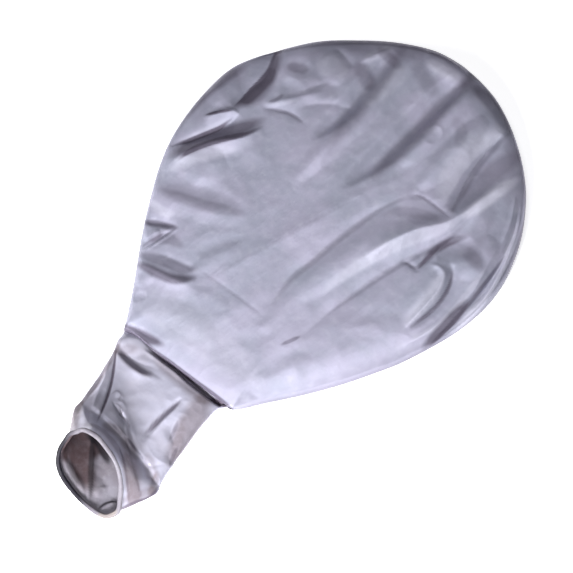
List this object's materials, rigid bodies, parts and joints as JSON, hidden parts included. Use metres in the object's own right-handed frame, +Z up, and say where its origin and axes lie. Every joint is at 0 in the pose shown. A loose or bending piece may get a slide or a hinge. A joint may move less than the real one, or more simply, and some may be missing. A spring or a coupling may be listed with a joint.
{
  "type": "giant latex balloon",
  "caption": "Empty giant latex balloon lying on its side: pear-shaped bag, short wide neck folded once at its shoulder, open mouth with a rolled bead standing up as a leaning hoop.",
  "frame": {"origin": "on the floor, under the middle of the balloon's overall length and width", "axes": "+Y along the balloon from its mouth to its crown, +X to the right seen from the mouth, +Z up"},
  "size_m": [0.7062, 1.1835, 0.1269],
  "materials": {
    "bag_skin": "silver pearl latex film, satin, finely crumpled",
    "neck_skin": "the same silver latex, thinner in pigment, so paler with a beige cast",
    "mouth_bead": "rolled latex, darker and slightly glossy"
  },
  "bodies": {
    "root": {"envelope_upper_wall": "bag_skin", "envelope_lower_wall": "bag_skin", "shoulder_pleat": "bag_skin", "neck_upper_wall": "neck_skin", "neck_lower_wall": "neck_skin", "mouth_bead": "mouth_bead"}
  },
  "joints": []
}
